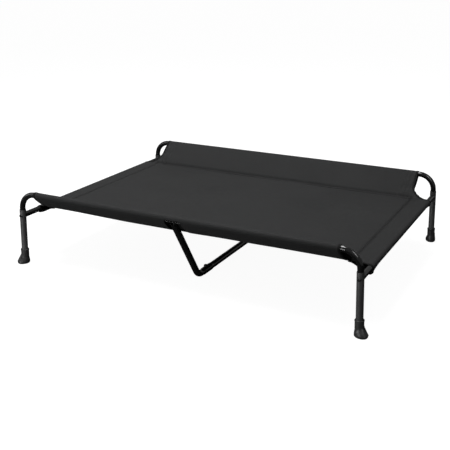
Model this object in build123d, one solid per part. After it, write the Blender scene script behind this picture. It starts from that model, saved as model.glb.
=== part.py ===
from build123d import *
import math
import os

# Raised dog bed: a fabric sling held in a bolted steel tube frame, with a tube support under
# the middle. Sizes are in mm. The origin is the middle of the bed on the floor, +X runs along
# the long side, +Y to the back and +Z up. Most pieces are drawn once, at the +X +Y corner or on
# the +X or +Y side, and mirrored to the others.

os.makedirs("parts", exist_ok=True)

# Tubes
LEG_OD = 22.0
RAIL_OD = 19.0
WALL = 1.2
SLIP = 0.05  # radial gap where one tube or screw sits in another

# Long rails and legs
RAIL_Y = 437.0  # rail and leg axis from the middle of the bed
RAIL_Z = 254.5  # height of the rail axis
RAIL_BEND = 55.0  # centre-line radius of the rail's end bend
LEG_X = 600.5  # leg axis at the height of its bolt
BOLT_Z = 175.5  # height of the cross rail axis and the leg bolts
LEAN = 2.3  # degrees that each leg leans outward along X
LEG_TOP_Z = 196.0
LEG_END_Z = 9.0
STUB_END_Z = 146.0  # where the rail's end stops inside the leg
SPLICE = 34.0  # half length of the joint between two rail halves
NECK_LENGTH = 2.0  # where a rail half narrows to its spigot

# Bolts and screws
BOLT_R = 3.0
SCREW_R = 2.5
SCREW_X = 19.0
PLUG_LENGTH = 20.0

# Middle support
ARM_OD = 22.0
ARM_SLOPE = 56.5  # degrees below level
ARM_SIDE = 5.0  # the arm's axis passes this far outside the rail's axis
ARM_BEND = 42.0
ARM_TOP = 9.0  # from the rail axis down to the cut end of the arm
SOCKET_R = 12.3  # outside radius of the floor bar's widened ends
SOCKET_MOUTH_Y = 248.0
SOCKET_END_Y = 196.0
NECK_Y = 187.0
ARM_END_Y = 199.0
JOINT_BOLT_Y = 228.0
SADDLE_R = RAIL_OD / 2 + 2.05
SADDLE_HALF = 27.0
SADDLE_SPREAD = 54.0  # degrees that the saddle reaches each way round the rail
NUT_R = 5.0
NUT_HEIGHT = 5.0

# Sling
CLOTH = 1.2
SLEEVE_R = RAIL_OD / 2 + 0.1 + CLOTH / 2  # middle of the cloth where it goes round a rail
CREASE_Y = 342.0  # where the lying surface turns up into the side wall
SLEEVE_END_X = 540.0
SLEEVE_END_Y = 352.0
HANG_R = 200.0  # curve in which the outer layer of a side wall hangs
STITCH = 57.0  # from a cross rail to the seam that closes its sleeve
SEAM_TAPER = 4.1  # solid cloth where the two layers of a short sleeve meet
NOTCH_R = 50.0
NOTCH_LOW = 10.0  # height along the wall where the corner notch ends
NOTCH_OVERLAP = 5.0
SLOT_HALF = 30.0  # opening in a side wall's outer layer for the middle support
SLOT_FROM = -5.0  # its start and end along the outer layer, from where that leaves the rail
SLOT_TO = 100.0
SLOT_DEPTH = 2.6
BINDING_R = 1.5
BINDING_UP = 98.0  # height along the wall where the tape starts

# Feet
FOOT_TOP_Z = 52.0
CUFF_R = 13.7
LIP_R = 14.4
LIP_HEIGHT = 5.0
SOLE_EDGE = 2.5
RIB_R = 2.0
RIB_TOP_Z = 30.0
RIB_LOW_Z = 8.0
RIB_REACH = 24.9  # from the leg axis to the lower end of a rib
RIB_SPREAD = 20.0  # degrees from the toe's middle to each rib
SOLE_LONG = 21.5
SOLE_WIDE = 17.5
TOE_SHIFT = 5.5
TOE_TURN = {  # direction of each foot's toe, degrees from +X
    "front_left": 238.0,
    "front_right": -18.0,
    "back_left": 162.0,
    "back_right": 117.0,
}

LEG_INNER_Y = RAIL_Y - LEG_OD / 2 - SLIP  # where a cross rail's end meets the leg

CORNERS = {
    "front_left": (-1, -1),
    "front_right": (1, -1),
    "back_left": (-1, 1),
    "back_right": (1, 1),
}
lean = math.radians(LEAN)
LEG_DOWN = Vector(math.sin(lean), 0, -math.cos(lean))


def place(shape, sx, sy):
    """Mirror a +X +Y piece to the corner with these signs."""
    if sx < 0:
        shape = mirror(shape, about=Plane.YZ)
    if sy < 0:
        shape = mirror(shape, about=Plane.XZ)
    return shape


def save(name, shape):
    export_step(shape, f"parts/{name}.step")


def leg_point(z):
    """Point on the leg axis of the +X +Y corner at height z."""
    return Vector(LEG_X + (BOLT_Z - z) * math.tan(lean), RAIL_Y, z)


def ring(radius, wall):
    return Circle(radius) - Circle(radius - wall)


def rod(start, direction, radius, length):
    """Solid round bar from a start point along a direction."""
    return extrude(Plane(origin=start, z_dir=direction) * Circle(radius), amount=length)


def tube(path, radius, wall):
    start = Plane(origin=path @ 0, z_dir=path % 0)
    return sweep(start * ring(radius, wall), path=path)


# Directions in the plane of the middle support, at the +Y side
slope = math.radians(ARM_SLOPE)
ARM_DOWN = Vector(0, -math.cos(slope), -math.sin(slope))
ARM_OUT = Vector(0, math.sin(slope), -math.cos(slope))
RAIL_MID = Vector(0, RAIL_Y, RAIL_Z)


def rail_bolt_hole():
    return rod((LEG_X, RAIL_Y - LEG_OD, BOLT_Z), (0, 1, 0), BOLT_R + SLIP, 2 * LEG_OD)


def splice_holes():
    """Screw holes through the lower wall of the rail joint and through the saddle."""
    holes = []
    for x in (-SCREW_X, SCREW_X):
        start = Vector(x, RAIL_Y, RAIL_Z) + ARM_DOWN * SCREW_R
        holes.append(rod(start, ARM_DOWN, SCREW_R + SLIP, SADDLE_R))
    return holes


def rail_half(start_x):
    """Long tube, end bend and the stub that goes down inside the leg."""
    corner = leg_point(RAIL_Z)
    stub_end = leg_point(STUB_END_Z)
    path = FilletPolyline((start_x, RAIL_Y, RAIL_Z), corner, stub_end, radius=RAIL_BEND)
    return tube(path, RAIL_OD / 2, WALL) - rail_bolt_hole()


def rail_with_socket():
    """Rail half whose open end slides over the other half's spigot."""
    return rail_half(-SPLICE + 2 * SLIP) - splice_holes()


def rail_with_spigot():
    """Rail half with a reduced end that fits inside the other half."""
    spigot_r = RAIL_OD / 2 - WALL - SLIP
    neck_start = Plane((SPLICE, RAIL_Y, RAIL_Z), z_dir=(1, 0, 0))
    neck = extrude(neck_start * ring(RAIL_OD / 2, 2 * WALL + SLIP), amount=NECK_LENGTH)
    spigot_start = Plane((-SPLICE, RAIL_Y, RAIL_Z), z_dir=(1, 0, 0))
    spigot = extrude(spigot_start * ring(spigot_r, WALL), amount=2 * SPLICE + NECK_LENGTH / 2)
    return rail_half(SPLICE + NECK_LENGTH / 2) + neck + spigot - splice_holes()


def leg():
    top = leg_point(LEG_TOP_Z)
    bottom = leg_point(LEG_END_Z)
    body = extrude(Plane(top, z_dir=LEG_DOWN) * ring(LEG_OD / 2, WALL), amount=(bottom - top).length)
    return body - rail_bolt_hole()


def foot(toe_turn):
    """Rubber cap: a cuff on the leg that widens into a sole with a ribbed toe."""
    ground = leg_point(0)

    def outline(z, long_r, wide_r, shift):
        toe = Vector(shift, 0, 0).rotate(Axis.Z, toe_turn)
        centre = Vector(ground.X + toe.X, ground.Y + toe.Y, z)
        return Plane(centre, x_dir=Vector(1, 0, 0).rotate(Axis.Z, toe_turn)) * Ellipse(long_r, wide_r)

    edge = outline(SOLE_EDGE, SOLE_LONG - 0.4, SOLE_WIDE - 0.4, TOE_SHIFT)
    tread = outline(0, SOLE_LONG - SOLE_EDGE, SOLE_WIDE - SOLE_EDGE, TOE_SHIFT)
    sole = loft([tread, edge], ruled=True)
    widest = outline(9, SOLE_LONG, SOLE_WIDE, TOE_SHIFT)
    ankle = outline(19, 17.0, 15.4, 2.2)
    boot = loft([edge, widest, ankle, outline(32, CUFF_R, CUFF_R, 0)])
    cuff_start = leg_point(24)
    cuff = rod(cuff_start, LEG_DOWN * -1, CUFF_R, (leg_point(FOOT_TOP_Z) - cuff_start).length)
    lip = rod(leg_point(FOOT_TOP_Z - LIP_HEIGHT), LEG_DOWN * -1, LIP_R, LIP_HEIGHT)
    lip = fillet(lip.edges().filter_by(GeomType.CIRCLE), 1.2)
    body = sole + boot + cuff + lip
    for turn in (-RIB_SPREAD, RIB_SPREAD):
        out = Vector(1, 0, 0).rotate(Axis.Z, toe_turn + turn)
        high = Vector(ground.X, ground.Y, RIB_TOP_Z) + out * (CUFF_R - 1)
        low = Vector(ground.X, ground.Y, RIB_LOW_Z) + out * RIB_REACH
        body += rod(high, low - high, RIB_R, (low - high).length)
        body += Pos(low) * Sphere(RIB_R)
    bore = rod(leg_point(LEG_END_Z - 0.5), LEG_DOWN * -1, LEG_OD / 2 + 0.03, FOOT_TOP_Z)
    return body - bore


def cross_rail():
    return extrude(
        Plane((LEG_X, -LEG_INNER_Y, BOLT_Z), z_dir=(0, 1, 0)) * ring(RAIL_OD / 2, WALL),
        amount=2 * LEG_INNER_Y,
    )


def cross_rail_plug():
    """Threaded plug pressed into the end of a cross rail."""
    plane = Plane((LEG_X, LEG_INNER_Y - PLUG_LENGTH, BOLT_Z), z_dir=(0, 1, 0))
    return extrude(plane * (Circle(RAIL_OD / 2 - WALL - SLIP) - Circle(BOLT_R + SLIP)), amount=PLUG_LENGTH)


def button_bolt(seat, inward, radius, length, head_r, head_height):
    """Bolt with a domed head on a seat point and its shank along inward."""
    head = rod(seat, inward * -1, head_r, head_height)
    rim = head.faces().sort_by(Axis(seat, inward * -1))[-1].edges()
    head = fillet(rim, head_height * 0.6)
    shank = rod(seat - inward, inward, radius, length + 1)
    socket_start = seat - inward * head_height
    socket = extrude(
        Plane(socket_start, z_dir=inward) * RegularPolygon(radius * 0.7, 6), amount=head_height * 0.6
    )
    return head + shank - socket


def leg_bolt():
    seat = Vector(LEG_X, RAIL_Y + LEG_OD / 2 + SLIP, BOLT_Z)
    return button_bolt(seat, Vector(0, -1, 0), BOLT_R, 38, 5.6, 3.2)


def support_arm():
    """Bent tube from the long rail down to the floor, with a saddle that fits under the rail."""
    low_z = SOCKET_R
    start = RAIL_MID + ARM_OUT * ARM_SIDE
    run = (start.Z - low_z) / math.tan(slope)
    corner = Vector(0, start.Y - run, low_z)
    path = FilletPolyline(start + ARM_DOWN * ARM_TOP, corner, Vector(0, ARM_END_Y, low_z), radius=ARM_BEND)
    side = 4 * SADDLE_R
    spread = side * math.tan(math.radians(SADDLE_SPREAD))
    wedge = make_face(Polyline((0, 0), (side, spread), (side, -spread), close=True))
    section = Plane((-SADDLE_HALF, RAIL_Y, RAIL_Z), x_dir=ARM_DOWN, z_dir=(1, 0, 0))
    saddle = extrude(section * (Circle(SADDLE_R) & wedge), amount=2 * SADDLE_HALF)
    rail_start = (-2 * SADDLE_HALF, RAIL_Y, RAIL_Z)
    rail_space = rod(rail_start, (1, 0, 0), RAIL_OD / 2 + SLIP, 4 * SADDLE_HALF)
    arm = tube(path, ARM_OD / 2, WALL) + saddle - rail_space - splice_holes()
    return arm - rod((0, JOINT_BOLT_Y, low_z), (0, 0, 1), BOLT_R + SLIP, ARM_OD)


def saddle_screw(x):
    seat = Vector(x, RAIL_Y, RAIL_Z) + ARM_DOWN * (SADDLE_R + 2 * SLIP)
    return button_bolt(seat, ARM_DOWN * -1, SCREW_R, 8, 4.2, 2.6)


def floor_bar():
    """Straight tube on the floor whose widened ends take the two support arms."""
    inner = ARM_OD / 2 + SLIP
    narrow = ARM_OD / 2 - WALL
    half = [
        (SOCKET_MOUTH_Y, inner),
        (SOCKET_MOUTH_Y, SOCKET_R),
        (SOCKET_END_Y + 2, SOCKET_R),
        (NECK_Y + 1, ARM_OD / 2),
    ]
    back = [(SOCKET_END_Y, inner), (NECK_Y, narrow)]
    points = half + [(-y, r) for y, r in reversed(half)]
    points += [(-y, r) for y, r in back] + list(reversed(back))
    axis_plane = Plane((0, 0, SOCKET_R), x_dir=(0, 1, 0), z_dir=(1, 0, 0))
    profile = axis_plane * make_face(Polyline(*points, close=True))
    body = revolve(profile, axis=Axis((0, 0, SOCKET_R), (0, 1, 0)))
    for side in (-1, 1):
        body -= rod((0, side * JOINT_BOLT_Y, SOCKET_R), (0, 0, 1), BOLT_R + SLIP, ARM_OD)
    return body


def joint_bolt():
    seat = Vector(0, JOINT_BOLT_Y, 2 * SOCKET_R + SLIP)
    return button_bolt(seat, Vector(0, 0, -1), BOLT_R, 17, 7.5, 5.5)


def joint_nut():
    """Weld nut inside the end of a support arm, under the joint bolt."""
    bore = ARM_OD / 2 - WALL
    top = SOCKET_R + math.sqrt(bore**2 - NUT_R**2) - SLIP
    plane = Plane((0, JOINT_BOLT_Y, top - NUT_HEIGHT), z_dir=(0, 0, 1))
    return extrude(plane * (Circle(NUT_R) - Circle(BOLT_R + SLIP)), amount=NUT_HEIGHT)


def tangent_point(crease, centre):
    """Where cloth from the crease first meets the top of a rail's sleeve."""
    gap = centre - crease
    distance = math.hypot(gap.X, gap.Y)
    turn = math.atan2(gap.Y, gap.X) + math.asin(SLEEVE_R / distance)
    reach = math.sqrt(distance**2 - SLEEVE_R**2)
    return crease + Vector(math.cos(turn), math.sin(turn)) * reach


def dot(point, radius):
    return Pos(point.X, point.Y) * Circle(radius)


def short_sleeve(crease, centre):
    """Cloth seen end on: from the crease to the cross rail, round it and back to the seam."""
    touch = tangent_point(crease, centre)
    along = (crease - touch).normalized()
    seam = touch + along * STITCH
    tip = seam + (centre - seam).normalized() * SEAM_TAPER
    outside = make_hull(dot(centre, SLEEVE_R + CLOTH / 2).edges() + dot(seam, CLOTH / 2).edges())
    inside = make_hull(dot(centre, SLEEVE_R - CLOTH / 2).edges() + dot(tip, SLIP).edges())
    single = make_hull(dot(seam, CLOTH / 2).edges() + dot(crease, CLOTH / 2).edges())
    return outside + single - inside


LYING_Z = BOLT_Z + SLEEVE_R  # middle of the cloth on the lying surface
WALL_CREASE = Vector(CREASE_Y, LYING_Z)
RAIL_CENTRE = Vector(RAIL_Y, RAIL_Z)
WALL_TOUCH = tangent_point(WALL_CREASE, RAIL_CENTRE)
wall_run = (WALL_TOUCH - WALL_CREASE).normalized()
WALL_UP = Vector(0, wall_run.X, wall_run.Y)
WALL_OUT = Vector(1, 0, 0).cross(WALL_UP)

# The outer layer hangs in an arc that leaves the rail smoothly and ends at the crease
crease_to_rail = RAIL_CENTRE - WALL_CREASE
rail_distance = crease_to_rail.length
hang_along = (HANG_R**2 - (HANG_R - SLEEVE_R) ** 2 + rail_distance**2) / (2 * rail_distance)
hang_up = math.sqrt(HANG_R**2 - hang_along**2)
toward_rail = crease_to_rail.normalized()
HANG_CENTRE = WALL_CREASE + toward_rail * hang_along + Vector(-toward_rail.Y, toward_rail.X) * hang_up
LEAVE = HANG_CENTRE + (RAIL_CENTRE - HANG_CENTRE).normalized() * HANG_R


def hang_point(length, lower=0.0):
    """Point on the outer layer, or on a line below it, at a length from where it leaves the rail."""
    start = LEAVE - HANG_CENTRE
    turn = math.atan2(start.Y, start.X) - length / HANG_R
    return HANG_CENTRE + Vector(math.cos(turn), math.sin(turn)) * (HANG_R + lower)


def side_wall():
    """Double side wall seen end on: up to the rail, round it and back down to the crease."""
    wrap = ThreePointArc(WALL_TOUCH, RAIL_CENTRE + toward_rail * SLEEVE_R, LEAVE)
    hang = ThreePointArc(LEAVE, hang_point((WALL_CREASE - LEAVE).length / 2), WALL_CREASE)
    middle = make_face(Curve() + [Line(WALL_CREASE, WALL_TOUCH), wrap, hang])
    return offset(middle, CLOTH / 2) - offset(middle, -CLOTH / 2)


def support_slot():
    """Opening in the outer layer for the support's saddle and arm."""
    corners = [hang_point(SLOT_FROM, SLOT_DEPTH), hang_point(SLOT_TO, SLOT_DEPTH)]
    corners += [hang_point(SLOT_TO, -SLOT_DEPTH), hang_point(SLOT_FROM, -SLOT_DEPTH)]
    middle = (SLOT_FROM + SLOT_TO) / 2
    lower = ThreePointArc(corners[0], hang_point(middle, SLOT_DEPTH), corners[1])
    upper = ThreePointArc(corners[2], hang_point(middle, -SLOT_DEPTH), corners[3])
    ends = [Line(corners[1], corners[2]), Line(corners[3], corners[0])]
    return extrude(Plane.YZ * make_face(Curve() + [lower, upper] + ends), amount=SLOT_HALF, both=True)


def wall_point(x, up):
    """Point on the middle of the +Y wall's cloth."""
    return Vector(x, CREASE_Y, LYING_Z) + WALL_UP * up


def notch_corner():
    """Wall cloth between the side wall and the short sleeve, with its rounded edge."""
    high = NOTCH_LOW + NOTCH_R
    far = SLEEVE_END_X + NOTCH_R
    near = SLEEVE_END_X - NOTCH_OVERLAP
    start = Vector(0, CREASE_Y, LYING_Z) - WALL_OUT * (CLOTH / 2)
    arc = CenterArc((far, high), NOTCH_R, 180, 90)
    sides = Polyline((SLEEVE_END_X, high), (near, high), (near, 0), (far, 0), (far, NOTCH_LOW))
    face = make_face(Curve() + [arc, sides])
    return extrude(Plane(start, x_dir=(1, 0, 0), z_dir=WALL_OUT) * face, amount=CLOTH)


def sling():
    """One sewn cloth: lying surface, two double side walls and a sleeve round each cross rail."""
    wall = extrude(Plane.YZ * side_wall(), amount=SLEEVE_END_X, both=True) - support_slot()
    end_crease = Vector(LEG_X - STITCH - NOTCH_OVERLAP, LYING_Z)
    end_centre = Vector(LEG_X, BOLT_Z)
    end_plane = Plane((0, 0, 0), x_dir=(1, 0, 0), z_dir=(0, -1, 0))
    end = extrude(end_plane * short_sleeve(end_crease, end_centre), amount=SLEEVE_END_Y, both=True)
    lying = Pos(0, 0, LYING_Z) * Box(2 * (LEG_X - STITCH), 2 * CREASE_Y, CLOTH)
    cloth = lying + wall + mirror(wall, about=Plane.XZ) + end + mirror(end, about=Plane.YZ)
    for sx, sy in CORNERS.values():
        cloth += place(notch_corner(), sx, sy)
    return cloth


def corner_binding():
    """Tape sewn along the open edge of a corner notch."""
    edge = BINDING_R + 0.25
    x = SLEEVE_END_X + edge
    low = NOTCH_LOW + edge
    end = SLEEVE_END_X + NOTCH_R + BINDING_R
    path = FilletPolyline(wall_point(x, BINDING_UP), wall_point(x, low), wall_point(end, low), radius=NOTCH_R - edge)
    return sweep(Plane(origin=path @ 0, z_dir=path % 0) * Circle(BINDING_R), path=path)


def group(shapes):
    return Compound(children=[solid for shape in shapes for solid in shape.solids()])


for corner_name, (sx, sy) in CORNERS.items():
    save(f"leg_{corner_name}", place(leg(), sx, sy))
    local_turn = TOE_TURN[corner_name]
    if sx < 0:
        local_turn = 180 - local_turn
    if sy < 0:
        local_turn = -local_turn
    save(f"foot_{corner_name}", place(foot(local_turn), sx, sy))
    save(f"corner_binding_{corner_name}", place(corner_binding(), sx, sy))

for side_name, sy in (("front", -1), ("back", 1)):
    save(f"rail_{side_name}_right", place(rail_with_socket(), 1, sy))
    save(f"rail_{side_name}_left", place(rail_with_spigot(), -1, sy))
    save(f"support_arm_{side_name}", place(support_arm(), 1, sy))

for side_name, sx in (("left", -1), ("right", 1)):
    save(f"cross_rail_{side_name}", place(cross_rail(), sx, 1))
    save(f"cross_rail_plugs_{side_name}", group([place(cross_rail_plug(), sx, sy) for sy in (-1, 1)]))

save("support_floor_bar", floor_bar())
save("leg_bolts", group([place(leg_bolt(), sx, sy) for sx, sy in CORNERS.values()]))
save("saddle_screws", group([place(saddle_screw(SCREW_X), sx, sy) for sx, sy in CORNERS.values()]))
save("support_joint_bolts", group([place(joint_bolt(), 1, sy) for sy in (-1, 1)]))
save("support_joint_nuts", group([place(joint_nut(), 1, sy) for sy in (-1, 1)]))
save("sling_cover", sling())
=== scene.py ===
import math

import bpy
import numpy as np
from mathutils import Matrix, Vector, noise


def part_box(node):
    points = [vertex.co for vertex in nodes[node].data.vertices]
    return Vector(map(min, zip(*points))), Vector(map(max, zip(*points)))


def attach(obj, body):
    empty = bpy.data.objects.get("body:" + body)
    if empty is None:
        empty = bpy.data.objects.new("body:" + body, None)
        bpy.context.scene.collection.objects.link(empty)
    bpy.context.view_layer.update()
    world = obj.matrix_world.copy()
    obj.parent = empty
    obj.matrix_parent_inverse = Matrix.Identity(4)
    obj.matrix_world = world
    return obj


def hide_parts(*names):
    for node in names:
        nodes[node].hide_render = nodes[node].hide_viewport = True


# Looks of a raised dog bed: the steel frame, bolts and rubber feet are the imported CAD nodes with
# finished materials. The sewn sling, its edge tapes and its stitching are built here, in metres.

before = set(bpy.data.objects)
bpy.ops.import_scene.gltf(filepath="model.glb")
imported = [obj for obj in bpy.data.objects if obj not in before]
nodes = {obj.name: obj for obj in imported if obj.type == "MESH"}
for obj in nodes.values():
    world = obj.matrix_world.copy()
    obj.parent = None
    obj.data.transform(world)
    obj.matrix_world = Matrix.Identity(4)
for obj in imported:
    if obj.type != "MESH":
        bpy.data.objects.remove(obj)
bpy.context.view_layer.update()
scene = bpy.context.scene


def centre(node):
    low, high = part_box(node)
    return (low + high) / 2


# ---------------------------------------------------------------- sizes taken from the frame
rail_low, rail_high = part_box("rail_back_right")
RAIL_Y = centre("rail_back_right").y
RAIL_R = (rail_high.y - rail_low.y) / 2
RAIL_Z = rail_high.z - RAIL_R
cross_middle = centre("cross_rail_right")
CROSS_X, CROSS_Z = cross_middle.x, cross_middle.z

# ---------------------------------------------------------------- the cut and sewing of the sling
CLOTH = 0.0010
SLEEVE_R = RAIL_R + 0.0007  # middle of the cloth round a rail
LYING_Z = CROSS_Z + SLEEVE_R
CREASE_Y = 0.342  # where the lying surface turns up into a side wall
POCKET_X = 0.540  # ends of the long sleeves
POCKET_Y = 0.352  # ends of the short sleeves
STITCH = 0.057  # from a cross rail's axis to the seam that closes its sleeve
HEM = 0.010  # cloth beyond a seam, sewn flat
HANG_R = 0.200  # curve in which the outer layer of a side wall hangs
HANG_SHORT = 0.004  # the outer layer's hanging part ends this far above the crease
NOTCH_R = 0.050  # rounding at the bottom of a corner notch
NOTCH_LOW = 0.010  # height of a notch's lowest edge above the crease
FOLD_WIDTH = 0.012  # cloth used by the soft bend at the crease
FLAP_SHORT = 0.001  # a sleeve's flap turns into its hem this far before the seam
LAYER_STEP = CLOTH * 1.15  # from the first layer to the flap under it
SLOT_HALF = 0.030  # half length of the opening for the support's saddle
SLOT_ABOVE = 0.005  # the opening starts this far before the outer layer leaves the rail
SLOT_BELOW = 0.100  # and ends this far after
SLOT_SQUARENESS = 6  # power of the superellipse that outlines it
SEAM_ROWS = 0.0035  # half distance between two rows of stitches
SEAM_PAST_CREASE = 0.001  # the crease seam lies this far past the fold

gap_y, gap_z = RAIL_Y - CREASE_Y, RAIL_Z - LYING_Z
wall_length = math.sqrt(gap_y**2 + gap_z**2 - SLEEVE_R**2)
WALL_ANGLE = math.atan2(gap_z, gap_y) + math.atan2(SLEEVE_R, wall_length)
fold_radius = FOLD_WIDTH / WALL_ANGLE
fold_set_back = fold_radius * math.tan(WALL_ANGLE / 2)
FOLD_Y = CREASE_Y - fold_set_back
WALL_STRAIGHT = wall_length - fold_set_back
END_TURN = 2 * math.pi - 2 * math.atan2(STITCH, SLEEVE_R)  # turn round a cross rail
WRAP = SLEEVE_R * END_TURN
SEAM_X = CROSS_X - STITCH

# a side wall is double: its outer layer leaves the rail and hangs in an arc down to the crease
rail_gap = math.hypot(gap_y, gap_z)
hang_along = (HANG_R**2 - (HANG_R - SLEEVE_R) ** 2 + rail_gap**2) / (2 * rail_gap)
hang_up = math.sqrt(HANG_R**2 - hang_along**2)
to_rail = math.atan2(gap_z, gap_y)
HANG_Y = CREASE_Y + hang_along * math.cos(to_rail) - hang_up * math.sin(to_rail)
HANG_Z = hang_along * math.sin(to_rail) + hang_up * math.cos(to_rail)  # above the lying surface
LEAVE_ANGLE = math.atan2(gap_z - HANG_Z, RAIL_Y - HANG_Y)  # direction where it leaves the rail
CREASE_ANGLE = math.atan2(-HANG_Z, CREASE_Y - HANG_Y)
SIDE_TURN = WALL_ANGLE + math.pi / 2 - LEAVE_ANGLE
SIDE_WRAP = SLEEVE_R * SIDE_TURN
HANG = HANG_R * (LEAVE_ANGLE - CREASE_ANGLE) - HANG_SHORT
SEAM_WALL = FOLD_WIDTH + SEAM_PAST_CREASE  # the crease seam, from the start of the fold
WRAP_START = FOLD_WIDTH + WALL_STRAIGHT  # the wall meets the rail, from the start of the fold
HANG_START = WRAP_START + SIDE_WRAP  # the outer layer leaves the rail


def end_path(run):
    """Place along the cloth that wraps a cross rail clockwise from its top: the wrap, the flap back
    to the seam and the hem under the first layer. Returns offsets from the rail's axis."""
    turn = np.clip(run, 0, WRAP) / SLEEVE_R
    along = SLEEVE_R * np.sin(turn)
    up = SLEEVE_R * np.cos(turn)
    flap = np.clip(run - WRAP, 0, STITCH - FLAP_SHORT)
    along = along + flap * math.cos(END_TURN)
    up = up - flap * math.sin(END_TURN)
    hem = np.clip(run - WRAP - STITCH + FLAP_SHORT, 0, HEM)
    # the flap comes to lie under the first layer within its first quarter
    under = LAYER_STEP * np.clip((run - WRAP) / (STITCH * 0.25), 0, 1)
    return along - hem, up - under


def wall_path(run):
    """The same for a long rail: round the rail and down the hanging arc of the outer layer.
    Returns offsets from the rail's axis, outward and up."""
    turn = WALL_ANGLE + math.pi / 2 - np.clip(run, 0, SIDE_WRAP) / SLEEVE_R
    down = LEAVE_ANGLE - np.clip(run - SIDE_WRAP, 0, HANG) / HANG_R
    out = SLEEVE_R * np.cos(turn) + HANG_R * (np.cos(down) - math.cos(LEAVE_ANGLE))
    up = SLEEVE_R * np.sin(turn) + HANG_R * (np.sin(down) - math.sin(LEAVE_ANGLE))
    # its hem lies flat under the lying surface, just inside the crease
    hem = np.clip(run - SIDE_WRAP - HANG, 0, HEM)
    return out - hem, up


def smooth(t):
    t = np.clip(t, 0, 1)
    return t * t * (3 - 2 * t)


def notch_edge(s):
    """How far past the crease a corner notch's edge lies in the flat cloth, at distance s from
    the middle along the length."""
    s = np.asarray(s, float)
    inside = np.clip(POCKET_X + NOTCH_R - s, 0, NOTCH_R)
    arc = NOTCH_LOW + NOTCH_R - np.sqrt(NOTCH_R**2 - inside**2)
    end_share = smooth((s - POCKET_X - NOTCH_R) / (CROSS_X - POCKET_X - NOTCH_R))
    return arc + (POCKET_Y - CREASE_Y - NOTCH_LOW) * end_share


# ---------------------------------------------------------------- rows and columns of the sling
def steps(start, end, count):
    return list(np.linspace(start, end, count + 1)[1:])


SLOT_COLUMNS_END = SLOT_HALF * 1.2  # the columns are closer together round the opening
NOTCH_COLUMNS_START = 0.45  # and near the corner notches
FINE_ROWS = 0.03  # width of the band of closer rows inside the fold


def half_columns():
    """Distances from the middle along the length, to the hem of the short sleeve."""
    values = steps(0, SLOT_COLUMNS_END, 12)
    values += steps(SLOT_COLUMNS_END, NOTCH_COLUMNS_START, 44)
    values += steps(NOTCH_COLUMNS_START, POCKET_X, 24)
    values += [POCKET_X + NOTCH_R * (1 - math.cos(a)) for a in steps(0, math.pi / 2, 16)]
    values += steps(POCKET_X + NOTCH_R, CROSS_X, 7)
    values += [CROSS_X + v for v in steps(0, WRAP, 24)]
    values += [CROSS_X + WRAP + v for v in steps(0, STITCH + HEM, 18)]
    return values


CORNER_ROWS = 16
LOW_ROWS = 52
WALL_ROWS = 24
WRAP_ROWS = 22
HANG_ROWS = 44


def half_rows():
    """Rows from the middle across the width. A row is (zone, value): 'low' is a distance from the
    middle, 'corner' a share of the way from the fold to the notch's edge or, on the wall, to the
    notch's top, and 'wall' a distance past the start of the fold."""
    rows = [("low", v) for v in steps(0, FOLD_Y - FINE_ROWS, LOW_ROWS)]
    rows += [("low", v) for v in steps(FOLD_Y - FINE_ROWS, FOLD_Y, 8)]
    rows += [("corner", v) for v in steps(0, 1, CORNER_ROWS)]
    corner_top = NOTCH_LOW + NOTCH_R + fold_set_back
    rows += [("wall", v) for v in steps(corner_top, WRAP_START, WALL_ROWS)]
    rows += [("wall", v) for v in steps(WRAP_START, HANG_START, WRAP_ROWS)]
    rows += [("wall", v) for v in steps(HANG_START, HANG_START + HANG + HEM, HANG_ROWS)]
    return rows


columns = half_columns()
S = np.array([-v for v in reversed(columns)] + [0.0] + columns)
half = half_rows()
zones = list(reversed(half)) + [("low", 0.0)] + half
row_side = np.array([-1.0] * len(half) + [1.0] + [1.0] * len(half))
n_rows, n_columns = len(zones), len(S)
abs_s = np.abs(S)

# distance past the start of the fold, for every row and column
past = np.zeros((n_rows, n_columns))
corner_span = fold_set_back + notch_edge(np.maximum(abs_s, POCKET_X))
for j, (zone, value) in enumerate(zones):
    if zone == "low":
        past[j] = value - FOLD_Y
    elif zone == "corner":
        past[j] = value * corner_span
    else:
        past[j] = value

# the bend into the side wall fades out between the wall's end and the cross rail
FADE_START = 0.012  # past the wall's end
FADE_CUT = 0.014  # the fade is this much shorter than the way to the cross rail
FLAT_ANGLE = 0.002  # stands for no bend, where an angle of zero would divide by zero
fold_share = 1 - smooth((abs_s - POCKET_X - FADE_START) / (CROSS_X - POCKET_X - FADE_CUT))
fold_angle = np.maximum(WALL_ANGLE * fold_share, FLAT_ANGLE)[None, :]


def side_profile(d, angle):
    """Across the width: distance from the middle and height above the lying surface."""
    radius = FOLD_WIDTH / angle
    bent = np.clip(d, 0, FOLD_WIDTH)
    straight = np.clip(d - FOLD_WIDTH, 0, WALL_STRAIGHT)
    y = FOLD_Y + np.minimum(d, 0) + radius * np.sin(bent / radius) + straight * np.cos(angle)
    z = radius * (1 - np.cos(bent / radius)) + straight * np.sin(angle)
    run = np.maximum(d - FOLD_WIDTH - WALL_STRAIGHT, 0)
    out, up = wall_path(run)
    start_out, start_up = wall_path(np.zeros(1))
    return y + out - start_out, z + up - start_up


def end_profile(s):
    """Along the length: distance from the middle and height above the lying surface."""
    along, up = end_path(np.maximum(s - CROSS_X, 0))
    return np.minimum(s, CROSS_X) + along, up - SLEEVE_R


side_y, side_z = side_profile(past, fold_angle)
end_x, end_z = end_profile(abs_s)
X = np.sign(S)[None, :] * end_x[None, :] + 0 * side_y
Y = row_side[:, None] * side_y
Z = LYING_Z + side_z + end_z[None, :]
P = np.stack([X, Y, Z], -1)

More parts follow.
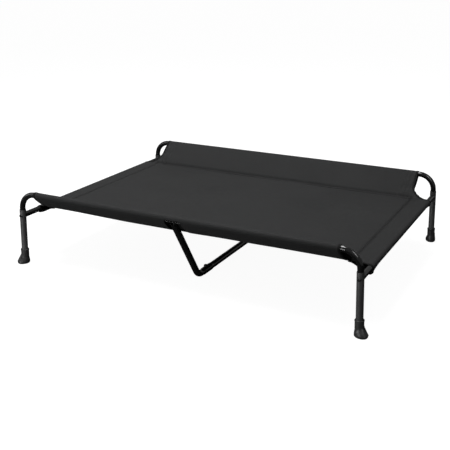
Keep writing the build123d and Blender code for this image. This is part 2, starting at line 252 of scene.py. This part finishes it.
# ---------------------------------------------------------------- slack, wrinkles and seams
SAG = 0.0045  # of the lying surface, in its middle
SPOKE_HEIGHT = 0.0009  # creases that fan out from the corner notches
SPOKES_PER_TURN = 11
RIPPLE_HEIGHT = 0.0013  # short folds of a side wall beside its ends
RIPPLE_PITCH = 0.0150
SLACK_BROAD, SLACK_FINE = 0.0014, 0.0004  # slow and fine unevenness of the first layer
SEAM_END_WIDTH, SEAM_WALL_WIDTH = 0.0052, 0.0048
GROOVE = 0.0013  # depth along a seam
PUCKER_PITCH = 0.017
DROOP, DROOP_FRONT_RIGHT = 0.0035, 0.0085  # loose cloth under a cross rail, near its sleeve's ends
DROOP_REACH = 0.070  # from a sleeve's end inward

FLAT_T = row_side[:, None] * (FOLD_Y + past)
FLAT_S = np.broadcast_to(S[None, :], FLAT_T.shape)
t_abs = np.abs(FLAT_T)
s_abs = np.abs(FLAT_S)


def bell(d, width):
    return np.exp(-((d / width) ** 2))


def clouds(u, v, scale, seed):
    """Smooth random values over the cloth."""
    flat = np.array(
        [noise.noise(Vector((a / scale, b / scale, seed))) for a, b in zip(u.ravel(), v.ravel())]
    )
    return flat.reshape(u.shape)


def grid_normals(points):
    du = np.gradient(points, axis=1)
    dv = np.gradient(points, axis=0)
    n = np.cross(du, dv)
    return n / np.maximum(np.linalg.norm(n, axis=-1, keepdims=True), 1e-12)


sag_along = np.clip(1 - (s_abs / SEAM_X) ** 2, 0, 1)
P[..., 2] -= SAG * sag_along * np.clip(1 - (t_abs / FOLD_Y) ** 2, 0, 1)
N = grid_normals(P)

tangent_t = FOLD_Y + FOLD_WIDTH + WALL_STRAIGHT
first_layer = (t_abs <= tangent_t) & (s_abs <= CROSS_X)
wall_share = smooth(past / 0.02) * (1 - smooth((t_abs - tangent_t + 0.012) / 0.012))

# creases that fan out from the corner notches, and short folds beside the side walls' ends
notch_s = s_abs - (POCKET_X + NOTCH_R)
notch_t = t_abs - (CREASE_Y + NOTCH_LOW + NOTCH_R)
notch_r = np.hypot(notch_s, notch_t)
spoke = np.arctan2(-notch_t, -notch_s)
near_notch = bell(np.maximum(notch_r - NOTCH_R - 0.004, 0), 0.060)
near_notch = near_notch * smooth((notch_r - NOTCH_R) / 0.02)
spoke_phase = 2.0 * np.sign(FLAT_S * FLAT_T) + 0.7
spokes = SPOKE_HEIGHT * near_notch * np.sin(SPOKES_PER_TURN * spoke + spoke_phase)
edge_run = POCKET_X - s_abs
wave = edge_run + 0.5 * past**2 + 0.004 * clouds(FLAT_S, FLAT_T, 0.05, 2.4)
ripples = RIPPLE_HEIGHT * wall_share * bell(edge_run - 0.024, 0.024)
ripples = ripples * np.sin(2 * math.pi * wave / RIPPLE_PITCH)
ripples = ripples * smooth(edge_run / 0.012) * (0.55 + 0.9 * clouds(FLAT_S, FLAT_T, 0.045, 6.2))
slack = SLACK_BROAD * clouds(FLAT_S, FLAT_T, 0.22, 3.1)
slack = slack + SLACK_FINE * clouds(FLAT_S, FLAT_T, 0.07, 8.7)
slack = slack * (1 - 0.75 * smooth((t_abs - tangent_t + 0.03) / 0.03))
seam_end = bell(s_abs - SEAM_X, SEAM_END_WIDTH) * (t_abs < POCKET_Y)
seam_wall = bell(past - SEAM_WALL, SEAM_WALL_WIDTH) * (s_abs < POCKET_X)
along_seam = np.where(seam_end > seam_wall, FLAT_T, FLAT_S)
pucker = 1 + 0.35 * np.sin(2 * math.pi * along_seam / PUCKER_PITCH)
grooves = -GROOVE * np.maximum(seam_end, seam_wall) * pucker
held = 1 - bell(CROSS_X - s_abs, 0.015)
shift = first_layer * (held * (spokes + ripples + slack) + grooves)

# the outer layer bulges out round the bed's middle and lies closer near its ends
fall = np.clip((past - HANG_START) / HANG, 0, 1)
fall_share = np.sin(math.pi * fall) * (past > HANG_START)
deep_places = [-POCKET_X, -0.40, -0.20, 0.05, 0.30, POCKET_X]
deep_values = [-0.0015, 0.0005, 0.0030, 0.0030, -0.0005, -0.0015]
deep = np.interp(S, deep_places, deep_values)
deep = deep[None, :] + 0.0012 * clouds(FLAT_S, FLAT_T * 0.3, 0.12, 5.3)
shift = shift + deep * fall_share
P += N * shift[..., None]

# the short sleeves hang a little loose under the cross rails near their ends
run_end = s_abs - CROSS_X
loose = smooth((run_end - 0.010) / 0.014) * (1 - smooth((run_end - WRAP - 0.004) / 0.045))
front_right = (FLAT_S > 0) & (FLAT_T < 0)
droop_share = np.clip((t_abs - POCKET_Y + DROOP_REACH) / DROOP_REACH, 0, 1) ** 1.6
droop = np.where(front_right, DROOP_FRONT_RIGHT, DROOP) * droop_share
P[..., 2] -= droop * loose * (t_abs <= POCKET_Y + 0.001)
N = grid_normals(P)

# seam strength, read by the cloth's material as a faint darkening along the stitched lines: partly
# the pressed, denser weave there and partly painted shade of the seam's groove
SEAM_SHADE = np.clip(np.maximum(seam_end, seam_wall) * first_layer, 0, 1)

# ---------------------------------------------------------------- which quads are cloth
slot_from = HANG_START - SLOT_ABOVE
slot_to = HANG_START + SLOT_BELOW
slot_middle, slot_reach = (slot_from + slot_to) / 2, (slot_to - slot_from) / 2
slot_value = (s_abs / SLOT_HALF) ** SLOT_SQUARENESS  # below 1 inside the opening
slot_value = slot_value + (np.abs(past - slot_middle) / slot_reach) ** SLOT_SQUARENESS


def cloth_quads():
    corner_or_low = np.array([zone != "wall" for zone, _ in zones])
    quads = []
    for j in range(n_rows - 1):
        above = not (corner_or_low[j] and corner_or_low[j + 1])
        for i in range(n_columns - 1):
            if above and max(abs_s[i], abs_s[i + 1]) > POCKET_X + 1e-6:
                continue
            if above and slot_value[j : j + 2, i : i + 2].min() < 1:
                continue
            quads.append((j, i))
    return quads


def index_of(j, i):
    return j * n_columns + i


def make_object(name, vertices, faces, uvs=None, smooth_shade=True):
    mesh = bpy.data.meshes.new(name)
    mesh.from_pydata([tuple(v) for v in vertices], [], faces)
    if uvs is not None:
        layer = mesh.uv_layers.new(name="flat")
        loops = np.array([uvs[v] for f in faces for v in f], np.float32)
        layer.data.foreach_set("uv", loops.ravel())
    mesh.validate()
    mesh.update()
    if smooth_shade:
        mesh.shade_smooth()
    obj = bpy.data.objects.new(name, mesh)
    scene.collection.objects.link(obj)
    return obj


def build_sling():
    quads = cloth_quads()
    used = sorted({index_of(j + a, i + b) for j, i in quads for a in (0, 1) for b in (0, 1)})
    place = {old: new for new, old in enumerate(used)}
    points = P.reshape(-1, 3)[used]
    flat = np.stack([FLAT_S, FLAT_T], -1).reshape(-1, 2)[used]
    faces = []
    for j, i in quads:
        corners = (index_of(j, i), index_of(j, i + 1), index_of(j + 1, i + 1), index_of(j + 1, i))
        faces.append(tuple(place[c] for c in corners))
    cloth = make_object("sling", points, faces, flat)
    shade = cloth.data.attributes.new("seam", "FLOAT", "POINT")
    shade.data.foreach_set("value", SEAM_SHADE.ravel()[used].astype(np.float32))
    solid = cloth.modifiers.new("thickness", "SOLIDIFY")
    solid.thickness = CLOTH
    solid.offset = 0.0
    solid.use_even_offset = False
    return cloth


sling = build_sling()

# ---------------------------------------------------------------- points on the finished cloth


class ClothMap:
    """Places and directions on the finished cloth, read between its grid points."""

    def __init__(self):
        self.rows = {}

    def at(self, column, row):
        i0 = int(np.clip(math.floor(column), 0, n_columns - 2))
        j0 = int(np.clip(math.floor(row), 0, n_rows - 2))
        a, b = column - i0, row - j0

        def mix(grid):
            low = grid[j0, i0] * (1 - a) + grid[j0, i0 + 1] * a
            high = grid[j0 + 1, i0] * (1 - a) + grid[j0 + 1, i0 + 1] * a
            return low * (1 - b) + high * b

        n = mix(N)
        return mix(P), n / np.linalg.norm(n)

    def column(self, s):
        return float(np.interp(s, S, np.arange(n_columns)))

    def row(self, s, side, d):
        """Fractional row at a distance d past the fold on one side, at length position s."""
        column = int(round(self.column(s)))
        key = (column, side)
        if key not in self.rows:
            rows = [j for j in range(n_rows) if row_side[j] == side or j == len(half)]
            values = [past[j, column] for j in rows]
            if side < 0:
                rows, values = rows[::-1], values[::-1]
            self.rows[key] = (values, rows)
        values, rows = self.rows[key]
        return float(np.interp(d, values, rows))

    def point(self, s, side, d):
        return self.at(self.column(s), self.row(s, side, d))


cloth_map = ClothMap()

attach(sling, "root")
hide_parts("sling_cover")


# ---------------------------------------------------------------- edge tapes
TAPE_WIDTH = 0.0075
TAPE_THICK = 0.0006
TAPE_PUFF = 0.00012  # the tape is thickest in the middle of its width
INNER_STEP = 0.004  # from the cloth's edge to the inner point that gives a tape's direction
TAPE_SHORT = 0.004  # the tape ends this far above the foot of the side wall's outer layer


def edge_frame(s, side, d, step_s, step_d):
    """Point on the cloth, its normal and the unit direction towards a nearby inner point."""
    point, normal = cloth_map.point(s, side, d)
    inner, _ = cloth_map.point(s + step_s, side, d + step_d)
    inward = inner - point
    inward = inward - normal * (inward @ normal)
    return point, normal, inward / np.linalg.norm(inward)


def tape_section():
    """Closed outline of a folded tape, as (inward, normal) offsets from the cloth's edge."""
    inside = CLOTH / 2 + 0.00005
    outside = inside + TAPE_THICK
    outer = [(TAPE_WIDTH, inside), (TAPE_WIDTH - 0.0001, outside)]
    outer += [(TAPE_WIDTH * 0.55, outside + TAPE_PUFF), (0.0008, outside)]
    outer += [(-outside * math.cos(a) + 0.0002, outside * math.sin(a)) for a in (0.9, 0.45, 0)]
    inner = [(TAPE_WIDTH - 0.0004, inside), (0.0002, inside), (-0.0004, 0.0)]
    outer_below = [(a, -b) for a, b in reversed(outer[:-1])]
    inner_below = [(a, -b) for a, b in inner[:-1]]
    return outer + outer_below + inner_below + list(reversed(inner))


def ribbon(name, stations, section):
    """Sweeps a closed section along stations of (point, normal, inward), with closed ends."""
    count = len(section)
    vertices, faces = [], []
    for point, normal, inward in stations:
        vertices += [point + inward * a + normal * b for a, b in section]
    for k in range(len(stations) - 1):
        for m in range(count):
            a, b = k * count + m, k * count + (m + 1) % count
            faces.append((a, b, b + count, a + count))
    last = (len(stations) - 1) * count
    faces.append(tuple(reversed(range(count))))
    faces.append(tuple(range(last, last + count)))
    length = np.cumsum([0] + [np.linalg.norm(b[0] - a[0]) for a, b in zip(stations, stations[1:])])
    uvs = [(length[k], section[m][0]) for k in range(len(stations)) for m in range(count)]
    return make_object(name, vertices, faces, uvs)


def edge_path(sx, side):
    """Stations along the cloth's free edge at a corner: up the side wall's outer layer, round the
    rail, down the notch and round the cross rail to the short sleeve's seam."""
    stations = []
    top = fold_set_back + NOTCH_LOW + NOTCH_R
    sleeve_end = HANG_START + HANG - TAPE_SHORT
    for d in np.linspace(sleeve_end, top, 90):
        stations.append(edge_frame(sx * POCKET_X, side, d, -sx * INNER_STEP, 0))
    for a in np.linspace(0, math.pi / 2, 22)[1:]:
        s = POCKET_X + NOTCH_R * (1 - math.cos(a))
        d = fold_set_back + notch_edge(s)
        step_s, step_d = -sx * INNER_STEP * math.cos(a), -INNER_STEP * math.sin(a)
        stations.append(edge_frame(sx * s, side, float(d), step_s, step_d))
    edge_end = fold_set_back + POCKET_Y - CREASE_Y
    for s in np.linspace(POCKET_X + NOTCH_R, CROSS_X, 8)[1:]:
        d = fold_set_back + notch_edge(s)
        stations.append(edge_frame(sx * s, side, float(d), 0, -INNER_STEP))
    for s in np.linspace(CROSS_X, CROSS_X + WRAP + STITCH + HEM * 0.5, 60)[1:]:
        stations.append(edge_frame(sx * s, side, edge_end, 0, -INNER_STEP))
    return stations


CORNERS = {
    "front_left": (-1, -1),
    "front_right": (1, -1),
    "back_left": (-1, 1),
    "back_right": (1, 1),
}
tapes = []
for corner, (sx, side) in CORNERS.items():
    tape = ribbon(f"edge_tape_{corner}", edge_path(sx, side), tape_section())
    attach(tape, "root")
    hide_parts(f"corner_binding_{corner}")
    tapes.append(tape)


# ---------------------------------------------------------------- stitching
STITCH_LENGTH = 0.0034
STITCH_PITCH = 0.0046
THREAD_R = 0.00032
END_SEAM_MARGIN, WALL_SEAM_MARGIN = 0.016, 0.018  # cloth without stitches, both ends together
# rings of a stitch: place along it, size and lift, in stitch lengths and thread radii
STITCH_RINGS = [
    (-0.5, 0.25, -0.4),
    (-0.36, 0.9, 0.5),
    (0.0, 1.0, 1.0),
    (0.36, 0.9, 0.5),
    (0.5, 0.25, -0.4),
]


def thread(name, runs):
    """Rows of short raised stitches. A run is a list of (point, normal) along the seam."""
    vertices, faces = [], []
    sides = 6
    for run in runs:
        for start, end in zip(run[0::2], run[1::2]):
            middle = (start[0] + end[0]) / 2
            along = end[0] - start[0]
            length = np.linalg.norm(along)
            along = along / length
            normal = start[1] + end[1]
            normal = normal / np.linalg.norm(normal)
            across = np.cross(normal, along)
            first = len(vertices)
            for place, size, lift in STITCH_RINGS:
                ring_middle = middle + along * length * place + normal * THREAD_R * lift
                for m in range(sides):
                    a = 2 * math.pi * m / sides
                    spoke_out = across * math.cos(a) + normal * math.sin(a)
                    vertices.append(ring_middle + spoke_out * THREAD_R * size)
            for k in range(len(STITCH_RINGS) - 1):
                for m in range(sides):
                    a, b = first + k * sides + m, first + k * sides + (m + 1) % sides
                    faces.append((a, b, b + sides, a + sides))
            faces.append(tuple(first + m for m in reversed(range(sides))))
            faces.append(tuple(first + (len(STITCH_RINGS) - 1) * sides + m for m in range(sides)))
    made = make_object(name, vertices, faces)
    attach(made, "root")
    return made


def stitch_marks(length):
    """Start and end of each stitch along a seam, as distances from its middle."""
    count = int(length / STITCH_PITCH)
    marks = []
    for k in range(count):
        middle = (k - (count - 1) / 2) * STITCH_PITCH
        marks += [middle - STITCH_LENGTH / 2, middle + STITCH_LENGTH / 2]
    return marks


def end_seam(sx, offset):
    run = []
    for t in stitch_marks(2 * POCKET_Y - END_SEAM_MARGIN):
        side = 1.0 if t >= 0 else -1.0
        point, normal = cloth_map.point(sx * (SEAM_X + offset), side, abs(t) - FOLD_Y)
        run.append((point + normal * (CLOTH / 2) * np.sign(normal[2]), normal * np.sign(normal[2])))
    return run


def wall_seam(side, offset):
    run = []
    for s in stitch_marks(2 * POCKET_X - WALL_SEAM_MARGIN):
        point, normal = cloth_map.point(s, side, SEAM_WALL + offset)
        normal = normal * np.sign(normal[2])
        run.append((point + normal * CLOTH / 2, normal))
    return run


ROW_OFFSETS = (-SEAM_ROWS, SEAM_ROWS)
threads = [
    thread("stitching_left", [end_seam(-1, offset) for offset in ROW_OFFSETS]),
    thread("stitching_right", [end_seam(1, offset) for offset in ROW_OFFSETS]),
    thread("stitching_front", [wall_seam(-1.0, offset) for offset in ROW_OFFSETS]),
    thread("stitching_back", [wall_seam(1.0, offset) for offset in ROW_OFFSETS]),
]


# ---------------------------------------------------------------- materials
class Nodes:
    """Short helper to wire a material's nodes."""

    def __init__(self, name):
        self.material = bpy.data.materials.new(name)
        self.material.use_nodes = True
        self.tree = self.material.node_tree
        self.tree.nodes.clear()
        self.output = self.add("ShaderNodeOutputMaterial")
        self.shader = self.add("ShaderNodeBsdfPrincipled")
        self.link(self.shader.outputs["BSDF"], self.output.inputs["Surface"])

    def add(self, kind, **values):
        node = self.tree.nodes.new(kind)
        for key, value in values.items():
            setattr(node, key, value)
        return node

    def link(self, a, b):
        self.tree.links.new(a, b)

    def put(self, socket, value):
        if isinstance(value, bpy.types.NodeSocket):
            self.link(value, socket)
        else:
            socket.default_value = value

    def math(self, operation, a, b=0.0, c=0.0):
        node = self.add("ShaderNodeMath", operation=operation)
        for socket, value in zip(node.inputs, (a, b, c)):
            self.put(socket, value)
        return node.outputs[0]

    def noise(self, vector, scale, detail=3.0, roughness=0.5):
        node = self.add("ShaderNodeTexNoise")
        self.put(node.inputs["Vector"], vector)
        node.inputs["Scale"].default_value = scale
        node.inputs["Detail"].default_value = detail
        node.inputs["Roughness"].default_value = roughness
        return node.outputs["Fac"]

    def between(self, value, low, high, out_low, out_high):
        node = self.add("ShaderNodeMapRange", clamp=True)
        self.put(node.inputs["Value"], value)
        limits = {"From Min": low, "From Max": high, "To Min": out_low, "To Max": out_high}
        for key, number in limits.items():
            node.inputs[key].default_value = number
        return node.outputs["Result"]

    def blend(self, factor, a, b):
        # inputs 6 and 7 and output 2 are the Mix node's colour sockets
        node = self.add("ShaderNodeMix", data_type="RGBA")
        self.put(node.inputs[0], factor)
        self.put(node.inputs[6], a)
        self.put(node.inputs[7], b)
        return node.outputs[2]

    def bump(self, height, strength, distance, before=None):
        node = self.add("ShaderNodeBump")
        node.inputs["Strength"].default_value = strength
        node.inputs["Distance"].default_value = distance
        self.link(height, node.inputs["Height"])
        if before is not None:
            self.link(before, node.inputs["Normal"])
        return node.outputs["Normal"]

    def finish(self, colour, roughness, normal=None, **fixed):
        self.put(self.shader.inputs["Base Color"], colour)
        self.put(self.shader.inputs["Roughness"], roughness)
        if normal is not None:
            self.link(normal, self.shader.inputs["Normal"])
        for key, value in fixed.items():
            socket_name = key.replace("_", " ").title().replace("Ior", "IOR")
            self.shader.inputs[socket_name].default_value = value
        return self.material


def grey(value, tint=0.0):
    return (value, value * (1 + tint * 0.5), value * (1 + tint), 1.0)


def woven(name, dark, light, pitch, depth, sheen, seam_shade=0.0):
    """Plain woven polyester. The pattern follows the cloth's own flat coordinates, in metres."""
    n = Nodes(name)
    uv = n.add("ShaderNodeUVMap", uv_map="flat").outputs["UV"]
    parts = n.add("ShaderNodeSeparateXYZ")
    n.link(uv, parts.inputs[0])
    warp_phase = n.math("MULTIPLY", parts.outputs["X"], math.pi / pitch)
    weft_phase = n.math("MULTIPLY", parts.outputs["Y"], math.pi / pitch)
    warp, weft = n.math("SINE", warp_phase), n.math("SINE", weft_phase)
    crossing = n.math("MULTIPLY", warp, weft)
    over = n.between(crossing, -0.15, 0.15, 0.0, 1.0)
    warp_round = n.math("ABSOLUTE", warp)
    weft_round = n.math("ABSOLUTE", weft)
    warp_part = n.math("MULTIPLY", over, weft_round)
    weft_part = n.math("MULTIPLY", n.math("SUBTRACT", 1.0, over), warp_round)
    weave = n.math("ADD", warp_part, weft_part)
    place = n.add("ShaderNodeTexCoord").outputs["Object"]
    broad = n.noise(place, 5.0, 3.0)
    yarn = n.noise(place, 420.0, 2.0)
    shade = n.math("ADD", n.math("MULTIPLY", broad, 0.55), n.math("MULTIPLY", yarn, 0.25))
    shade = n.math("ADD", shade, n.math("MULTIPLY", weave, 0.3))
    colour = n.blend(n.between(shade, 0.3, 0.85, 0.0, 1.0), grey(dark, 0.03), grey(light, 0.02))
    # darker along the seams: partly pressed weave, partly painted shade of the seam's groove
    if seam_shade > 0:
        seam = n.add("ShaderNodeAttribute", attribute_name="seam").outputs["Fac"]
        colour = n.blend(n.math("MULTIPLY", seam, seam_shade), colour, grey(dark * 0.3))
    rough = n.between(broad, 0.3, 0.7, 0.62, 0.76)
    normal = n.bump(weave, 0.6, depth)
    normal = n.bump(yarn, 0.2, depth * 0.5, normal)
    return n.finish(
        colour, rough, normal, sheen_weight=sheen, sheen_roughness=0.45, specular_ior_level=0.08
    )


def painted(name, base, rough_low, rough_high, coat):
    """Powder coat on steel tube: slight orange peel, faint dust and rubbed patches."""
    n = Nodes(name)
    place = n.add("ShaderNodeTexCoord").outputs["Object"]
    peel = n.noise(place, 900.0, 2.0)
    cloud = n.noise(place, 14.0, 4.0)
    rub = n.noise(place, 60.0, 5.0, 0.65)
    colour = n.blend(n.between(cloud, 0.35, 0.7, 0.0, 1.0), grey(base, 0.03), grey(base * 1.45, 0.02))
    broad_rough = n.between(cloud, 0.3, 0.7, rough_low, rough_high)
    rough = n.math("ADD", broad_rough, n.between(rub, 0.55, 0.8, 0, 0.06))
    normal = n.bump(peel, 0.25, 0.00012)
    return n.finish(
        colour, rough, normal, coat_weight=coat, coat_roughness=0.12, specular_ior_level=0.5
    )


def rubber(name):
    """Moulded rubber with a fine grain and floor dust near the sole."""
    n = Nodes(name)
    place = n.add("ShaderNodeTexCoord").outputs["Object"]
    fine = n.noise(place, 1400.0, 2.0)
    cloud = n.noise(place, 30.0, 4.0)
    parts = n.add("ShaderNodeSeparateXYZ")
    n.link(place, parts.inputs[0])
    near_floor = n.between(parts.outputs["Z"], 0.0, 0.010, 0.35, 0.0)
    dust = n.math("MULTIPLY", near_floor, n.between(cloud, 0.35, 0.65, 0.3, 1.0))
    colour = n.blend(n.between(cloud, 0.35, 0.7, 0.0, 1.0), grey(0.027, 0.02), grey(0.040, 0.02))
    colour = n.blend(dust, colour, grey(0.085, -0.06))
    rough = n.between(cloud, 0.3, 0.7, 0.36, 0.46)
    return n.finish(colour, rough, n.bump(fine, 0.3, 0.0001), specular_ior_level=0.45)


def fine_grained(name, base, rough, metallic):
    """Finely grained finish of small parts: bolts, steel inserts and thread."""
    n = Nodes(name)
    place = n.add("ShaderNodeTexCoord").outputs["Object"]
    fine = n.noise(place, 700.0, 3.0)
    cloud = n.noise(place, 120.0, 3.0)
    colour = n.blend(n.between(cloud, 0.35, 0.7, 0.0, 1.0), grey(base), grey(base * 1.5))
    roughness = n.between(fine, 0.3, 0.7, rough * 0.85, rough * 1.2)
    return n.finish(colour, roughness, n.bump(fine, 0.2, 0.00008), metallic=metallic)


cloth_material = woven(
    "sling_cloth", dark=0.019, light=0.026, pitch=0.0011, depth=0.00016, sheen=0.03, seam_shade=0.6
)
tape_material = woven("edge_tape", dark=0.006, light=0.009, pitch=0.0008, depth=0.00014, sheen=0.02)
thread_material = fine_grained("seam_thread", base=0.010, rough=0.6, metallic=0.0)
gloss_material = painted("frame_gloss", base=0.008, rough_low=0.11, rough_high=0.16, coat=0.4)
leg_material = painted("leg_satin", base=0.050, rough_low=0.40, rough_high=0.48, coat=0.0)
rubber_material = rubber("foot_rubber")
bolt_material = fine_grained("bolt_black", base=0.03, rough=0.35, metallic=0.8)
steel_material = fine_grained("steel_insert", base=0.35, rough=0.35, metallic=1.0)


def node_finish(name):
    if name.startswith(("leg_bolts", "saddle_screws", "support_joint_bolts")):
        return bolt_material
    if name.startswith(("cross_rail_plugs", "support_joint_nuts")):
        return steel_material
    if name.startswith("foot_"):
        return rubber_material
    if name.startswith("leg_"):
        return leg_material
    return gloss_material


for name, node in nodes.items():
    if node.hide_render:
        continue
    node.data.materials.clear()
    node.data.materials.append(node_finish(name))

sling.data.materials.append(cloth_material)
for tape in tapes:
    tape.data.materials.append(tape_material)
for piece in threads:
    piece.data.materials.append(thread_material)


# ---------------------------------------------------------------- floor, lights and camera
SQUARE = [(-1, -1), (1, -1), (1, 1), (-1, 1)]
FLOOR_HALF = 40.0
FLOOR_GAP = 0.002  # between the floor's layers
BACKDROP_DISTANCE = 38.0
BACKDROP_HEIGHT = 60.0
PALE_GLOW = 0.95


def plain_material(name, value, glow):
    n = Nodes(name)
    n.finish((value, value, value, 1), 0.9, specular_ior_level=0.0)
    n.shader.inputs["Emission Color"].default_value = (1, 1, 1, 1)
    n.shader.inputs["Emission Strength"].default_value = glow
    return n.material


def floor_layer(name, material_name, layer, value, glow, seen_by):
    """One layer of the floor, seen only by one kind of ray: the camera's, diffuse or glossy."""
    z = -FLOOR_GAP * layer
    corners = [(FLOOR_HALF * x, FLOOR_HALF * y, z) for x, y in SQUARE]
    made = make_object(name, corners, [(0, 1, 2, 3)], smooth_shade=False)
    made.data.materials.append(plain_material(material_name, value, glow))
    made.visible_camera = seen_by == "camera"
    made.visible_diffuse = seen_by == "diffuse"
    made.visible_glossy = seen_by == "glossy"


floor_layer("floor", "floor_white", 0, value=0.20, glow=PALE_GLOW, seen_by="camera")
floor_layer("floor_bounce", "floor_bounce", 1, value=0.36, glow=0.0, seen_by="diffuse")
floor_layer("floor_mirrored", "floor_mirrored", 2, value=0.10, glow=0.0, seen_by="glossy")


def backdrop(name, distance, height):
    """Plain pale walls far round the bed, seen from low angles only."""
    vertices = [(distance * x, distance * y, z) for z in (0, height) for x, y in SQUARE]
    faces = [(k, (k + 1) % 4, (k + 1) % 4 + 4, k + 4) for k in range(4)]
    made = make_object(name, vertices, faces, smooth_shade=False)
    made.data.materials.append(plain_material(name, 0.0, PALE_GLOW))
    made.visible_diffuse = False
    made.visible_glossy = False
    made.visible_shadow = False


backdrop("backdrop", BACKDROP_DISTANCE, BACKDROP_HEIGHT)


def softbox(name, location, target, width, height, power):
    """Rectangular lamp of the given size in metres and power in watts, turned to its target."""
    light = bpy.data.lights.new(name, "AREA")
    light.shape = "RECTANGLE"
    light.size, light.size_y = width, height
    light.energy = power
    obj = bpy.data.objects.new(name, light)
    obj.location = location
    obj.rotation_mode = "QUATERNION"
    obj.rotation_quaternion = (Vector(target) - Vector(location)).to_track_quat("-Z", "Y")
    scene.collection.objects.link(obj)
    return obj


softbox("light_top", (-0.45, -0.1, 2.6), (0, 0, 0.1), 2.2, 1.4, 84)
softbox("light_left", (-2.6, -1.2, 1.5), (0, 0, 0.15), 0.9, 1.8, 8)
streak = softbox("light_streak", (2.2, -1.3, 2.2), (0.5, -0.4, 0.2), 0.3, 1.6, 16)
streak.visible_diffuse = False  # it only shows as a streak in the glossy paint
softbox("light_low", (-0.9, -2.6, 0.12), (0, -0.4, 0.2), 1.8, 0.2, 27)

WORLD_STRENGTH = 0.18
world = bpy.data.worlds.new("studio")
world.use_nodes = True
background = world.node_tree.nodes["Background"]
background.inputs["Color"].default_value = (1, 1, 1, 1)
background.inputs["Strength"].default_value = WORLD_STRENGTH
scene.world = world

CAMERA_PLACE = Vector((1.1578, -2.3465, 1.0108))
CAMERA_YAW, CAMERA_PITCH, CAMERA_ROLL = (math.radians(a) for a in (27.13, -19.17, 0.14))
CAMERA_LENS, CAMERA_SENSOR = 61.36, 36.0  # in millimetres
forward = Vector(
    (
        -math.sin(CAMERA_YAW) * math.cos(CAMERA_PITCH),
        math.cos(CAMERA_YAW) * math.cos(CAMERA_PITCH),
        math.sin(CAMERA_PITCH),
    )
)
camera_data = bpy.data.cameras.new("camera")
camera_data.lens = CAMERA_LENS
camera_data.sensor_width = CAMERA_SENSOR
camera = bpy.data.objects.new("camera", camera_data)
scene.collection.objects.link(camera)
camera.location = CAMERA_PLACE
camera.rotation_mode = "QUATERNION"
level = forward.to_track_quat("-Z", "Y").to_matrix()
camera.rotation_quaternion = (level @ Matrix.Rotation(CAMERA_ROLL, 3, "Z")).to_quaternion()
scene.camera = camera
scene.view_settings.view_transform = "Standard"
